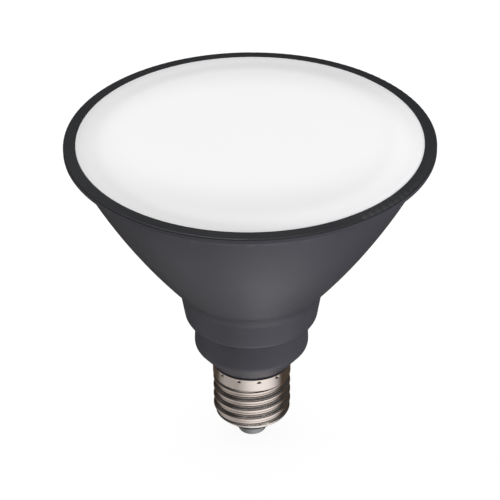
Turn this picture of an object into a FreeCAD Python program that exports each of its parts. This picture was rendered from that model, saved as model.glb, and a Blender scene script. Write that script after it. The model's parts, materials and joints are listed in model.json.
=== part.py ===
import FreeCAD, Part
import math
import os

from FreeCAD import Vector

# A reflector-style LED spotlight bulb with a 27 mm screw cap, in millimetres.
# The origin is the tip of the centre contact, +Z runs up the axis to the lens,
# and heights are built up from that tip. Every size here is set by itself.

# Screw cap: contact, insulator and rolled shell
contact_height = 4.0
contact_radius = 5.5
contact_nose_radius = 4.55
contact_edge_round = 1.3
contact_crown = 0.25
contact_wall = 0.5
contact_stem_bore = 0.9
insulator_height = 3.6
insulator_foot_radius = 6.3
insulator_shoulder_radius = 8.0
insulator_shoulder_height = 1.1
insulator_flange_height = 2.4
shell_height = 21.3
shell_wall = 0.3
collar_height = 4.2
collar_radius = 13.2
crest_radius = 13.15
thread_pitch = 3.629
thread_depth = 1.095
thread_arc = 1.025
thread_root_flat = 0.06
thread_front_crest = 16.2
nose_round = 4.6
nose_sweep = 65.0
lip_width = 0.9
thread_crest_chords = 3
punch_count = 12
punch_radius = 0.55
punch_tip_radius = 0.2
punch_depth = 0.35
punch_below_edge = 0.7
punch_first_angle = -109.3

# Housing: spigot in the cap, two neck rings, flare and rim
wall = 2.0
spigot_wall = 1.3
spigot_depth = 15.4
spigot_lead_in = 0.6
seat_width = 1.6
shadow_gap = 1.4
crimp_groove_reach = 0.85
crimp_groove_depth = 0.3
foot_radius = 13.85
foot_round = 0.4
ring_two_height = 16.75
ring_two_corner_height = 6.5
ring_two_corner_radius = 19.2
ring_two_top_radius = 18.9
ring_two_round = 2.6
ring_one_height = 13.25
ring_one_foot_radius = 21.95
ring_one_top_radius = 24.2
ring_one_round = 2.5
flare_overhang = 0.5
flare_edge_bevel = 0.2
flare_height = 51.4
flare_arc_radius = 232.0
rim_radius = 60.5
rim_overhang = 2.75
rim_underside_rise = 1.0
flange_height = 1.25
seam_chamfer = 0.15
rebate_depth = 1.1
rebate_width = 1.5

# Bezel ring and lens
bezel_height = 0.65
bezel_width = 3.95
bezel_slope = 0.2
bezel_edge_round = 0.42
bezel_skirt_width = 0.85
lens_crown = 1.6
lens_wall = 1.6
lens_flange_wall = 1.0
lens_rib_width = 1.3
lens_rib_depth = 2.8
lens_rib_gap = 0.3

# Heat sink cup and LED board
cup_wall = 1.2
cup_corner = 1.6
cup_plate_depth = 17.0
cup_skirt_depth = 31.6
burr_wall = 0.9
burr_depth = 2.0
led_board_margin = 5.6
led_board_wall = 1.6
wire_hole_radius = 4.2
led_edge_inset = 5.2
led_ring_shares = (0.38, 0.666, 1.0)
led_ring_counts = (8, 14, 22)
led_length = 3.5
led_width = 2.8
led_height = 0.75
screw_circle_share = 0.837
screw_count = 3
screw_shank_radius = 1.45
screw_length = 5.0
screw_head_radius = 2.7
screw_head_height = 1.9
screw_head_round = 0.9
screw_recess_width = 0.7
screw_recess_depth = 1.0

# Driver board, its guide ribs and the pieces soldered to it
board_wall = 1.6
board_offset = -3.0
board_height = 63.0
tongue_gap = 0.88
board_edge_gap = 0.45
board_head_step = 2.6
board_head_height = 25.0
rib_wall = 1.3
rib_overlap = 1.4
rib_height = 9.0
lead_radius = 0.3
solder_tail = 1.1
sleeve_groove_height = 1.3
sleeve_groove_depth = 0.4
bobbin_wall = 0.7
rail_length = 2.6
rail_height = 1.8
chip_leg_reach = 1.0
chip_leg_wall = 0.25
resistor_waist = 0.25
fuse_bend = 0.9
input_capacitor = {"at": (9.2, 58.0), "radius": 5.0, "height": 15.5, "spacing": 5.0}
output_capacitor = {"at": (10.6, 71.5), "radius": 4.0, "height": 12.0, "spacing": 3.5}
transformer = {"at": (-6.8, 66.0), "width": 13.2, "length": 12.6, "depth": 6.0, "lift": 3.6}
transformer_leg_share = 0.22
transformer_window = 9.0
transformer_side_share = 0.174
transformer_pin_pitch = 4.0
choke = {"at": (-9.0, 48.5), "radius": 4.0, "height": 8.5, "spacing": 4.0}
film_capacitor = {"at": (6.2, 44.0), "width": 10.0, "length": 4.5, "height": 8.5, "spacing": 7.5}
bridge = {"at": (0.0, 41.0), "width": 4.8, "length": 3.9, "height": 2.3, "legs": 2, "leg_width": 0.7}
driver_ic = {"at": (-2.0, 55.0), "width": 4.9, "length": 3.9, "height": 1.5, "legs": 4, "leg_width": 0.42}
output_diode = {"at": (6.0, 66.0), "width": 2.6, "length": 4.4, "height": 2.2, "legs": 1, "leg_width": 1.5}
fuse_resistor = {"at": (5.0, 23.5), "radius": 1.7, "length": 8.0, "spacing": 12.0}
varistor = {"at": (-6.5, 36.5), "radius": 3.7, "wall": 3.2, "lift": 0.8, "spacing": 4.6}
mains_pads = {"live": (-4.5, 20.0), "neutral": (0.5, 19.0)}
led_pads = {"positive": (-2.6, 75.5), "negative": (2.6, 75.5)}

# Wires
mains_wire_radius = 0.75
stripped_wire_radius = 0.4
led_wire_radius = 0.6
led_wire_run = 6.5
led_wire_arch = 2.4
neutral_wire_share = 0.7
neutral_wire_step = 1.5
neutral_wire_drop = 0.5
slot_run_out = 1.0

# Clearances
thread_fit = 0.055
collar_fit = 0.1
lip_fit = 0.05
bezel_fit = 0.05
cup_fit = 0.1
drill_fit = 0.1
slot_fit = 0.1
screw_fit = 0.15
wire_fit = 0.15

AXIS = Vector(0, 0, 1)
ORIGIN = Vector(0, 0, 0)
OUT_OF_BOARD = Vector(0, 1, 0)

# Heights up the axis, from the contact's tip
contact_top = contact_height
lip_level = contact_top + insulator_height
shell_top = lip_level + shell_height
collar_level = shell_top - collar_height
housing_foot = shell_top + shadow_gap
ring_one_level = housing_foot + ring_two_height
flare_level = ring_one_level + ring_one_height
flare_top = flare_level + flare_height
flange_level = flare_top + rim_underside_rise
flange_top = flange_level + flange_height
lens_level = flange_top + bezel_height

# Radii that follow from the ones above
root_radius = crest_radius - thread_depth
core_radius = root_radius + thread_root_flat
spigot_radius = root_radius - shell_wall - thread_fit
spigot_bore = spigot_radius - spigot_wall
flare_foot_radius = ring_one_top_radius + flare_overhang
flare_top_radius = rim_radius - rim_overhang
plug_radius = collar_radius - shell_wall - collar_fit
gap_radius = plug_radius - crimp_groove_depth
rebate_radius = rim_radius - rebate_width
ledge_level = flange_top - rebate_depth
bezel_opening = rim_radius - bezel_width
nose_level = lip_level + nose_round * math.sin(math.radians(nose_sweep))
spigot_level = shell_top - spigot_depth
board_front = board_offset + board_wall / 2
board_back = board_offset - board_wall / 2
board_seat = housing_foot + wall
seat_radius = spigot_bore + seat_width
cup_plate_level = lens_level - cup_plate_depth
led_board_top = cup_plate_level + led_board_wall


class Outline:
    """A closed outline of radius and height, turned once about the lamp's axis."""

    def __init__(self, radius, height):
        self.start = Vector(radius, 0, height)
        self.here = self.start
        self.edges = []

    def line(self, radius, height):
        """Draw a straight line to a point."""
        end = Vector(radius, 0, height)
        if self.here.distanceToPoint(end) > 1e-6:
            self.edges.append(Part.LineSegment(self.here, end).toShape())
            self.here = end
        return self

    def arc(self, middle, end):
        """Draw an arc through one point to another."""
        middle = Vector(middle[0], 0, middle[1])
        end = Vector(end[0], 0, end[1])
        self.edges.append(Part.Arc(self.here, middle, end).toShape())
        self.here = end
        return self

    def corner(self, radius, height, toward, size):
        """Draw to a corner that is rounded before the outline goes on toward a point."""
        tip = Vector(radius, 0, height)
        back = (self.here - tip).normalize()
        ahead = (Vector(toward[0], 0, toward[1]) - tip).normalize()
        half = back.getAngle(ahead) / 2
        reach = size / math.tan(half)
        first = tip + back * reach
        last = tip + ahead * reach
        centre = tip + (back + ahead).normalize() * (size / math.sin(half))
        middle = centre + (tip - centre).normalize() * size
        self.line(first.x, first.z)
        return self.arc((middle.x, middle.z), (last.x, last.z))

    def chords(self, centre, size, first, last, count):
        """Draw an arc as a few straight chords, from one angle to another in radians."""
        for index in range(count + 1):
            angle = first + (last - first) * index / count
            self.line(centre[0] + size * math.cos(angle), centre[1] + size * math.sin(angle))
        return self

    def face(self):
        """Close the outline into a flat face."""
        self.line(self.start.x, self.start.z)
        return Part.Face(Part.Wire(self.edges))

    def turn(self):
        """Turn the closed outline into a solid of revolution."""
        return self.face().revolve(ORIGIN, AXIS, 360)


def around(shape, angle):
    """Copy a shape turned about the lamp's axis."""
    copy = shape.copy()
    copy.rotate(ORIGIN, AXIS, angle)
    return copy


def tube_path(points, bends):
    """Join straight runs with tangent arcs; bends holds one radius for each inner point."""
    edges = []
    here = points[0]
    for index, bend in enumerate(bends):
        tip = points[index + 1]
        back = (here - tip).normalize()
        ahead = (points[index + 2] - tip).normalize()
        half = back.getAngle(ahead) / 2
        reach = bend / math.tan(half)
        first = tip + back * reach
        last = tip + ahead * reach
        centre = tip + (back + ahead).normalize() * (bend / math.sin(half))
        middle = centre + (tip - centre).normalize() * bend
        edges.append(Part.LineSegment(here, first).toShape())
        edges.append(Part.Arc(first, middle, last).toShape())
        here = last
    edges.append(Part.LineSegment(here, points[-1]).toShape())
    return Part.Wire(edges)


def tube(points, bends, radius):
    """Sweep a round section along straight runs and tangent arcs."""
    path = tube_path(points, bends)
    heading = points[1] - points[0]
    section = Part.Wire(Part.makeCircle(radius, points[0], heading))
    return path.makePipeShell([section], True, True)


def wide_bends(points):
    """Give each inner point the widest arc that its two runs allow."""
    radii = []
    for before, tip, after in zip(points, points[1:], points[2:]):
        back = before - tip
        ahead = after - tip
        half = back.getAngle(ahead) / 2
        radii.append(0.45 * min(back.Length, ahead.Length) * math.tan(half))
    return radii


# The flare's wall is a stack of arcs about one centre

def flare_centre():
    """Centre of the flare's arcs, inside the lamp's axis, as radius and height."""
    foot = Vector(flare_foot_radius, 0, flare_level)
    top = Vector(flare_top_radius, 0, flare_top)
    chord = top - foot
    inward = Vector(-chord.z, 0, chord.x).normalize()
    sagging = math.sqrt(flare_arc_radius ** 2 - (chord.Length / 2) ** 2)
    centre = (foot + top) * 0.5 + inward * sagging
    return centre.x, centre.z


def flare_radius(height, depth):
    """Radius of the flare's arc at a height, a depth inside the outer face."""
    centre_radius, centre_height = flare_centre()
    return centre_radius + math.sqrt((flare_arc_radius - depth) ** 2 - (height - centre_height) ** 2)


def flare_height_at(radius, depth):
    """Height where the flare's arc, a depth inside the outer face, has a radius."""
    centre_radius, centre_height = flare_centre()
    return centre_height - math.sqrt((flare_arc_radius - depth) ** 2 - (radius - centre_radius) ** 2)


def flare_point(height, depth):
    """A point of the flare's arc, as radius and height."""
    return flare_radius(height, depth), height


# Lens and bezel

lens_edge_radius = bezel_opening - 2 * bezel_fit
lens_flange_radius = rebate_radius - bezel_skirt_width - 2 * bezel_fit


def crown_height(radius, drop):
    """Height of the lens's crown at a radius, a drop below its outer face."""
    ball = (lens_edge_radius ** 2 + lens_crown ** 2) / (2 * lens_crown)
    return lens_level + lens_crown - ball + math.sqrt((ball - drop) ** 2 - radius ** 2)


def make_lens():
    """Opal lens: a shallow crown, a stepped edge under the bezel and a locating rib."""
    rib_outer = flare_radius(ledge_level - lens_rib_depth, wall) - lens_rib_gap
    rib_inner = rib_outer - lens_rib_width
    flange_face = ledge_level + lens_flange_wall
    lens = Outline(0, lens_level + lens_crown)
    half_out = lens_edge_radius / 2
    lens.arc((half_out, crown_height(half_out, 0)), (lens_edge_radius, lens_level))
    lens.line(lens_edge_radius, flange_face)
    lens.line(lens_flange_radius, flange_face)
    lens.line(lens_flange_radius, ledge_level)
    lens.line(rib_outer, ledge_level)
    lens.line(rib_outer, ledge_level - lens_rib_depth)
    lens.line(rib_inner, ledge_level - lens_rib_depth)
    lens.line(rib_inner, crown_height(rib_inner, lens_wall))
    half_in = rib_inner / 2
    lens.arc((half_in, crown_height(half_in, lens_wall)), (0, lens_level + lens_crown - lens_wall))
    return lens.turn()


def make_bezel_ring():
    """Flat ring on the rim, with a skirt that drops into the housing's rebate."""
    edge_foot = flange_top
    skirt_outer = rebate_radius - bezel_fit
    skirt_inner = skirt_outer - bezel_skirt_width
    underside = ledge_level + lens_flange_wall + bezel_fit
    ring = Outline(bezel_opening, lens_level)
    ring.corner(rim_radius, lens_level - bezel_slope, (rim_radius, edge_foot), bezel_edge_round)
    ring.line(rim_radius, edge_foot + seam_chamfer)
    ring.line(rim_radius - seam_chamfer, edge_foot)
    ring.line(skirt_outer, edge_foot)
    ring.line(skirt_outer, ledge_level + bezel_fit)
    ring.line(skirt_inner, ledge_level + bezel_fit)
    ring.line(skirt_inner, underside)
    ring.line(bezel_opening, underside)
    return ring.turn()


# Housing

def housing_outline():
    """Half section of the one-piece moulded housing."""
    ring_one_inner = ring_one_top_radius - wall
    ring_one_floor = ring_one_level + wall
    ring_two_inner = ring_two_top_radius - wall
    corner_level = housing_foot + ring_two_corner_height
    flare_start = flare_height_at(ring_one_inner, wall)
    flare_middle = (flare_level + flare_top) / 2
    inner_middle = (flare_start + ledge_level) / 2
    groove_level = shell_top - punch_below_edge - crimp_groove_reach
    body = Outline(spigot_bore, spigot_level)
    body.line(spigot_radius - spigot_lead_in, spigot_level)
    body.line(spigot_radius, spigot_level + spigot_lead_in)
    body.line(spigot_radius, collar_level + thread_fit)
    body.line(plug_radius, collar_level + thread_depth)
    body.line(plug_radius, groove_level)
    body.line(gap_radius, groove_level + crimp_groove_depth)
    body.line(gap_radius, housing_foot)
    body.corner(foot_radius, housing_foot, (ring_two_corner_radius, corner_level), foot_round)
    body.corner(ring_two_corner_radius, corner_level, (ring_two_top_radius, ring_one_level), ring_two_round)
    body.line(ring_two_top_radius, ring_one_level)
    body.corner(ring_one_foot_radius, ring_one_level, (ring_one_top_radius, flare_level), ring_one_round)
    body.line(ring_one_top_radius, flare_level)
    body.line(flare_foot_radius - flare_edge_bevel, flare_level)
    body.line(*flare_point(flare_level + flare_edge_bevel, 0))
    body.arc(flare_point(flare_middle, 0), (flare_top_radius, flare_top))
    body.line(rim_radius, flange_level)
    body.line(rim_radius, flange_top - seam_chamfer)
    body.line(rim_radius - seam_chamfer, flange_top)
    body.line(rebate_radius, flange_top)
    body.line(rebate_radius, ledge_level)
    body.line(*flare_point(ledge_level, wall))
    body.arc(flare_point(inner_middle, wall), (ring_one_inner, flare_start))
    body.line(ring_one_foot_radius - wall, ring_one_floor + wall / 2)
    body.line(ring_one_foot_radius - wall * 1.5, ring_one_floor)
    body.line(ring_two_inner, ring_one_floor)
    body.line(ring_two_corner_radius - wall, corner_level + wall / 2)
    body.line(seat_radius, board_seat)
    body.line(spigot_bore, board_seat)
    return body


def make_guide_ribs(body_core):
    """Two pairs of ribs in the neck that hold the driver board's edges."""
    ribs = []
    half_slot = board_wall / 2 + slot_fit
    reach = half_board_width() - rib_overlap
    level = housing_foot + ring_two_corner_height + wall / 2
    for side in (-1, 1):
        for face in (-1, 1):
            near = board_offset + face * half_slot
            far = near + face * rib_wall
            inner = side * reach
            outer = side * (ring_two_top_radius - wall / 2)
            low = Vector(min(inner, outer), min(near, far), level)
            rib = Part.makeBox(abs(outer - inner), rib_wall, rib_height, low)
            ribs.append(rib.common(body_core))
    return ribs


def neck_core():
    """The neck filled to the middle of its wall, which trims the ribs to it."""
    half = wall / 2
    level = housing_foot + ring_two_corner_height
    core = Outline(0, board_seat)
    core.line(spigot_bore + half, board_seat)
    core.line(ring_two_corner_radius - half, level)
    core.line(ring_two_top_radius - half, ring_one_level)
    core.line(ring_two_top_radius - half, ring_one_level + ring_one_height)
    core.line(0, ring_one_level + ring_one_height)
    return core.turn()


def punches(growth):
    """One blunt cone for each crimp in the cap's collar, grown by the sheet's thickness."""
    tip = collar_radius - punch_depth - growth
    reach = punch_depth + growth + punch_radius
    slope = (punch_radius - punch_tip_radius) / punch_depth
    near = punch_tip_radius + growth / 2
    far = near + slope * reach
    start = Vector(tip, 0, shell_top - punch_below_edge)
    cone = Part.makeCone(near, far, reach, start, Vector(1, 0, 0))
    step = 360.0 / punch_count
    return [around(cone, punch_first_angle + step * index) for index in range(punch_count)]


def neutral_slot():
    """Slot down the spigot's outside, where the stripped neutral wire is trapped."""
    half = stripped_wire_radius + wire_fit
    depth = 2 * stripped_wire_radius + wire_fit
    low = Vector(-half, spigot_radius - depth, spigot_level - slot_run_out)
    rise = neutral_wire_rise() + slot_run_out + half
    return Part.makeBox(2 * half, depth + slot_run_out, rise, low)


def neutral_wire_rise():
    """How far the neutral wire runs back up the spigot's outside."""
    return (collar_level - spigot_level) * neutral_wire_share


def make_housing():
    """Spigot, neck rings, flare and rim in one moulding, with guide ribs inside."""
    body = housing_outline().turn()
    body = body.fuse(make_guide_ribs(neck_core()))
    return body.cut(neutral_slot()).removeSplitter()


# Screw cap

def ridge_section(inset):
    """Section of one thread ridge, inset into the sheet, with chords for its tangent arcs."""
    half_pitch = thread_pitch / 2
    crest_centre = (crest_radius - thread_arc, 0)
    crest_arc = thread_arc - inset
    root_arc = thread_arc + inset
    lean = math.asin(half_pitch / 2 / thread_arc)
    foot_turn = math.acos(1 - thread_root_flat / 2 / root_arc)
    foot_radius_here = root_radius + thread_arc - root_arc * math.cos(foot_turn)
    foot_height = half_pitch - root_arc * math.sin(foot_turn)
    buried_radius = root_radius - inset - shell_wall / 2
    section = Outline(buried_radius, -foot_height)
    section.line(foot_radius_here, -foot_height)
    section.chords(crest_centre, crest_arc, -lean, lean, thread_crest_chords)
    section.line(foot_radius_here, foot_height)
    section.line(buried_radius, foot_height)
    section.line(buried_radius, -foot_height)
    return Part.Wire(section.edges)


def thread_ridge(inset):
    """Right-hand helical ridge from below the cap's lip to inside its collar."""
    first_crest = thread_front_crest + thread_pitch / 4
    turns_down = math.ceil((first_crest - lip_level) / thread_pitch)
    start = first_crest - turns_down * thread_pitch
    length = collar_level + thread_pitch / 2 - start
    section = ridge_section(inset)
    section.translate(Vector(0, 0, start))
    helix = Part.makeHelix(thread_pitch, length, crest_radius)
    helix.translate(Vector(0, 0, start))
    return Part.Wire(helix.Edges).makePipeShell([section], True, True)


def nose_waste(inset):
    """Everything outside the cap's rounded nose and below its lip, inset into the sheet."""
    size = nose_round - inset
    centre = collar_radius - nose_round
    sweep = math.radians(nose_sweep)
    lip_radius = centre + size * math.cos(sweep)
    lip_height = nose_level - size * math.sin(sweep)
    middle = (centre + size * math.cos(sweep / 2), nose_level - size * math.sin(sweep / 2))
    waste = Outline(0, lip_height)
    waste.line(lip_radius, lip_height)
    waste.arc(middle, (collar_radius - inset, nose_level))
    waste.line(2 * collar_radius, nose_level)
    waste.line(2 * collar_radius, -contact_height)
    waste.line(0, -contact_height)
    return waste.turn()


def filled_collar(inset):
    """The collar and the cone below it, filled, inset into the sheet."""
    collar_foot = collar_level + inset * math.tan(math.radians(22.5))
    cone_foot = collar_foot - collar_radius + core_radius - thread_root_flat
    collar = Outline(0, cone_foot)
    collar.line(root_radius - inset, cone_foot)
    collar.line(collar_radius - inset, collar_foot)
    collar.line(collar_radius - inset, shell_top + inset)
    collar.line(0, shell_top + inset)
    return collar.turn()


def filled_cap(inset):
    """The cap's form as a filled body, inset into the sheet."""
    rod = Part.makeCylinder(core_radius - inset, collar_level, ORIGIN)
    threaded = rod.fuse(thread_ridge(inset)).cut(nose_waste(inset))
    return threaded.fuse(filled_collar(inset))


def lip_opening():
    """Radius of the hole that the insulator fills in the cap's nose."""
    centre = collar_radius - nose_round
    return centre + nose_round * math.cos(math.radians(nose_sweep)) - lip_width


def make_screw_shell():
    """Thin sheet rolled into a round-thread cap, crimped round its collar."""
    outside = filled_cap(0)
    dents = [punch.common(filled_collar(0)) for punch in punches(shell_wall)]
    sheet = outside.cut(filled_cap(shell_wall))
    sheet = sheet.cut(Part.makeCylinder(lip_opening(), nose_round, Vector(0, 0, contact_top)))
    return sheet.fuse(dents).cut(punches(0)).removeSplitter()


def make_cap_insulator():
    """Black moulded insulator, held in the cap's lip, with a boss for the contact."""
    grip = lip_opening() - lip_fit
    lip_radius = lip_opening() + lip_width
    seat = lip_level + shell_wall + lip_fit
    boss = contact_radius - contact_wall - 2 * lip_fit
    body = Outline(contact_stem_bore, contact_wall + contact_crown + lip_fit)
    body.line(contact_nose_radius - contact_edge_round, contact_wall + contact_crown + lip_fit)
    body.line(boss, contact_top - contact_wall)
    body.line(boss, contact_top)
    body.line(insulator_foot_radius, contact_top)
    body.line(insulator_shoulder_radius, contact_top + insulator_shoulder_height)
    body.line(lip_radius, lip_level - lip_fit)
    body.line(grip, lip_level - lip_fit)
    body.line(grip, seat)
    body.line(lip_radius - lip_fit, seat)
    body.line(lip_radius - lip_fit, seat + insulator_flange_height)
    body.line(contact_stem_bore, seat + insulator_flange_height)
    return body.turn()


def make_centre_contact():
    """Pressed sheet contact: a domed cup with a rolled flange, over the insulator's boss."""
    cup = Outline(0, 0)
    cup.corner(contact_nose_radius, contact_crown, (contact_radius, contact_top), contact_edge_round)
    cup.line(contact_radius, contact_top)
    cup.line(contact_radius - contact_wall, contact_top)
    cup.line(contact_radius - contact_wall, contact_top - contact_wall)
    cup.line(contact_nose_radius - contact_edge_round + lip_fit, contact_wall + contact_crown)
    cup.line(contact_stem_bore, contact_wall)
    cup.line(0, contact_wall)
    return cup.turn()


# Heat sink cup, LED board and what is fixed to it

def make_heat_sink_cup():
    """Inverted drawn cup: a plate for the LED board and a skirt down the flare's wall."""
    depth = wall + cup_fit
    skirt_foot = cup_plate_level - cup_skirt_depth
    foot_reach = flare_radius(skirt_foot, depth)
    plate_reach = flare_radius(cup_plate_level, depth)
    lean = math.atan2(plate_reach - foot_reach, cup_skirt_depth)
    across = cup_wall / math.cos(lean)
    inner_top = cup_plate_level - cup_wall
    cup = Outline(wire_hole_radius + cup_fit, inner_top)
    cup.line(wire_hole_radius + cup_fit, cup_plate_level)
    cup.corner(plate_reach, cup_plate_level, (foot_reach, skirt_foot), cup_corner)
    cup.line(foot_reach, skirt_foot)
    cup.line(foot_reach - across, skirt_foot)
    cup.line(plate_reach - across - cup_wall * math.tan(lean), inner_top)
    body = cup.turn()
    burr_foot = cup_plate_level - burr_depth - cup_wall
    for centre in screw_places(burr_foot):
        burr = Part.makeCylinder(screw_shank_radius + burr_wall, burr_depth + cup_wall / 2, centre)
        body = body.fuse(burr)
    for centre in screw_places(burr_foot):
        bore = Part.makeCylinder(screw_shank_radius + thread_fit, burr_depth + cup_wall, centre)
        body = body.cut(bore)
    return body


def screw_places(height):
    """Centres of the LED board's screws at a height."""
    step = 2 * math.pi / screw_count
    reach = screw_circle_share * outer_ring_radius()
    return [
        Vector(reach * math.sin(step * n), reach * math.cos(step * n), height)
        for n in range(screw_count)
    ]


def led_board_radius():
    """Radius of the LED board, inside the bend of the cup's plate."""
    return flare_radius(cup_plate_level, wall + cup_fit) - led_board_margin


def outer_ring_radius():
    """Radius of the outer ring of LEDs, inside the board's edge."""
    return led_board_radius() - led_edge_inset


def make_led_board():
    """Round metal-core board with a hole for the wires and three for its screws."""
    base = Vector(0, 0, cup_plate_level)
    board = Part.makeCylinder(led_board_radius(), led_board_wall, base)
    holes = [Part.makeCylinder(wire_hole_radius, led_board_wall, base)]
    for centre in screw_places(cup_plate_level):
        holes.append(Part.makeCylinder(screw_shank_radius + screw_fit, led_board_wall, centre))
    return board.cut(holes)


def make_leds():
    """Surface-mount LEDs in rings on the board, as one group of like pieces."""
    chips = []
    for share, count in zip(led_ring_shares, led_ring_counts):
        ring_radius = share * outer_ring_radius()
        for index in range(count):
            low = Vector(ring_radius - led_width / 2, -led_length / 2, led_board_top)
            chip = Part.makeBox(led_width, led_length, led_height, low)
            chips.append(around(chip, 360.0 * (index + 0.5) / count))
    return Part.makeCompound(chips)


def make_led_board_screws():
    """Pan-head screws through the board into the cup's burred holes."""
    screws = []
    for centre in screw_places(led_board_top):
        head = Outline(0, -screw_length)
        head.line(screw_shank_radius - screw_fit, -screw_length)
        head.line(screw_shank_radius, -screw_length + screw_fit)
        head.line(screw_shank_radius, 0)
        head.line(screw_head_radius, 0)
        head.corner(screw_head_radius, screw_head_height, (0, screw_head_height), screw_head_round)
        head.line(0, screw_head_height)
        screw = head.turn()
        low = screw_head_height - screw_recess_depth
        size = screw_head_radius
        for along, across in ((size, screw_recess_width), (screw_recess_width, size)):
            slot = Part.makeBox(along, across, screw_recess_depth, Vector(-along / 2, -across / 2, low))
            screw = screw.cut(slot)
        screw.translate(centre)
        screws.append(screw)
    return Part.makeCompound(screws)


# Driver: each piece stands on the board's front or lies on its back

def front_box(at, width, length, height, lift=0.0):
    """A block standing on the board's front, centred on a place across and up the board."""
    low = Vector(at[0] - width / 2, board_front + lift, at[1] - length / 2)
    return Part.makeBox(width, height, length, low)


def back_box(at, width, length, height):
    """A block lying on the board's back, centred on a place across and up the board."""
    low = Vector(at[0] - width / 2, board_back - height, at[1] - length / 2)
    return Part.makeBox(width, height, length, low)


def leads(at, offsets, lift=0.0):
    """Straight leads from a piece on the board's front, out through the board's back."""
    length = board_wall + solder_tail + lift + lead_radius
    pins = []
    for across, up in offsets:
        tail = Vector(at[0] + across, board_back - solder_tail, at[1] + up)
        pins.append(Part.makeCylinder(lead_radius, length, tail, OUT_OF_BOARD))
    return pins


def upright(outline, at):
    """Stand a turned piece on the board's front."""
    piece = outline.turn()
    piece.rotate(ORIGIN, Vector(1, 0, 0), -90)
    piece.translate(Vector(at[0], board_front, at[1]))
    return piece


def electrolytic(at, radius, height, spacing):
    """Sleeved can with a crimped groove near its foot and a bevelled top, on two leads."""
    can = Outline(0, 0)
    can.line(radius, 0)
    can.line(radius, sleeve_groove_height)
    can.line(radius - sleeve_groove_depth, sleeve_groove_height + sleeve_groove_depth)
    can.line(radius, sleeve_groove_height + 2 * sleeve_groove_depth)
    can.line(radius, height - sleeve_groove_depth)
    can.line(radius - sleeve_groove_depth, height)
    can.line(0, height)
    body = upright(can, at)
    return body.fuse(leads(at, [(-spacing / 2, 0), (spacing / 2, 0)]))


def make_input_capacitor():
    """Smoothing capacitor after the bridge."""
    return electrolytic(**input_capacitor)


def make_output_capacitor():
    """Smoothing capacitor across the LED string."""
    return electrolytic(**output_capacitor)


def transformer_middle():
    """Centre of the transformer's core."""
    across, up = transformer["at"]
    return Vector(across, board_front + transformer["lift"] + transformer["depth"] / 2, up)


def centred_box(middle, width, depth, length):
    """A block centred on a point: across, out of the board and up it."""
    low = middle - Vector(width / 2, depth / 2, length / 2)
    return Part.makeBox(width, depth, length, low)


def make_transformer_core():
    """Two ferrite E halves glued end to end round the coil."""
    middle = transformer_middle()
    core = centred_box(middle, transformer["width"], transformer["depth"], transformer["length"])
    leg = transformer_leg_share * transformer["width"]
    side_limb = transformer_side_share * transformer["width"]
    window_width = (transformer["width"] - leg) / 2 - side_limb
    shift = (leg + window_width) / 2
    for side in (-1, 1):
        place = middle + Vector(side * shift, 0, 0)
        core = core.cut(centred_box(place, window_width, transformer["depth"], transformer_window))
    return core


def bobbin_sizes():
    """Width and depth of the bobbin's tube, and of its end flanges."""
    tube_width = transformer_leg_share * transformer["width"] + 2 * bobbin_wall + 2 * drill_fit
    tube_depth = transformer["depth"] + 2 * bobbin_wall + 2 * drill_fit
    flange_width = (1 - 2 * transformer_side_share) * transformer["width"] - 2 * drill_fit
    flange_depth = transformer["depth"] + 2 * (transformer["lift"] - rail_height)
    return tube_width, tube_depth, flange_width, flange_depth


def transformer_pins():
    """Offsets of the bobbin's six pins from the transformer's centre."""
    row = transformer["length"] / 2 + rail_length / 2
    return [(index * transformer_pin_pitch, side * row) for side in (-1, 1) for index in (-1, 0, 1)]


def make_transformer_bobbin():
    """Moulded bobbin: a tube, two end flanges and two rails that hold the pins."""
    middle = transformer_middle()
    tube_width, tube_depth, flange_width, flange_depth = bobbin_sizes()
    span = transformer_window - 2 * drill_fit
    body = centred_box(middle, tube_width, tube_depth, span)
    for side in (-1, 1):
        flange = middle + Vector(0, 0, side * (span - bobbin_wall) / 2)
        body = body.fuse(centred_box(flange, flange_width, flange_depth, bobbin_wall))
        reach = transformer["length"] / 2 + rail_length - span / 2 + bobbin_wall
        rail_at = (transformer["at"][0], middle.z + side * (span / 2 - bobbin_wall + reach / 2))
        rail = front_box(rail_at, transformer["width"], reach, rail_height)
        post_at = (transformer["at"][0], flange.z)
        post = front_box(post_at, flange_width, bobbin_wall, transformer["lift"])
        body = body.fuse([rail, post])
    hole_width = transformer_leg_share * transformer["width"] + 2 * drill_fit
    hole = centred_box(middle, hole_width, transformer["depth"] + 2 * drill_fit, transformer["length"])
    body = body.cut(hole)
    return body.fuse(leads(transformer["at"], transformer_pins()))


def make_transformer_winding():
    """Taped winding between the bobbin's flanges."""
    middle = transformer_middle()
    tube_width, tube_depth, flange_width, flange_depth = bobbin_sizes()
    span = transformer_window - 2 * drill_fit - 2 * bobbin_wall
    coil = centred_box(middle, flange_width - drill_fit, flange_depth - 4 * drill_fit, span)
    upright_edges = [edge for edge in coil.Edges if abs(edge.tangentAt(edge.FirstParameter).z) > 0.9]
    coil = coil.makeFillet(bobbin_wall * 2, upright_edges)
    return coil.cut(centred_box(middle, tube_width, tube_depth, span))


def make_emi_choke():
    """Sleeved drum choke on two leads."""
    drum = Outline(0, 0)
    drum.line(choke["radius"], 0)
    drum.line(choke["radius"], choke["height"])
    drum.line(0, choke["height"])
    body = upright(drum, choke["at"])
    return body.fuse(leads(choke["at"], [(0, -choke["spacing"] / 2), (0, choke["spacing"] / 2)]))


def make_film_capacitor():
    """Boxed film capacitor on two leads."""
    at = film_capacitor["at"]
    body = front_box(at, film_capacitor["width"], film_capacitor["length"], film_capacitor["height"])
    half = film_capacitor["spacing"] / 2
    return body.fuse(leads(at, [(-half, 0), (half, 0)]))


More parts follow.
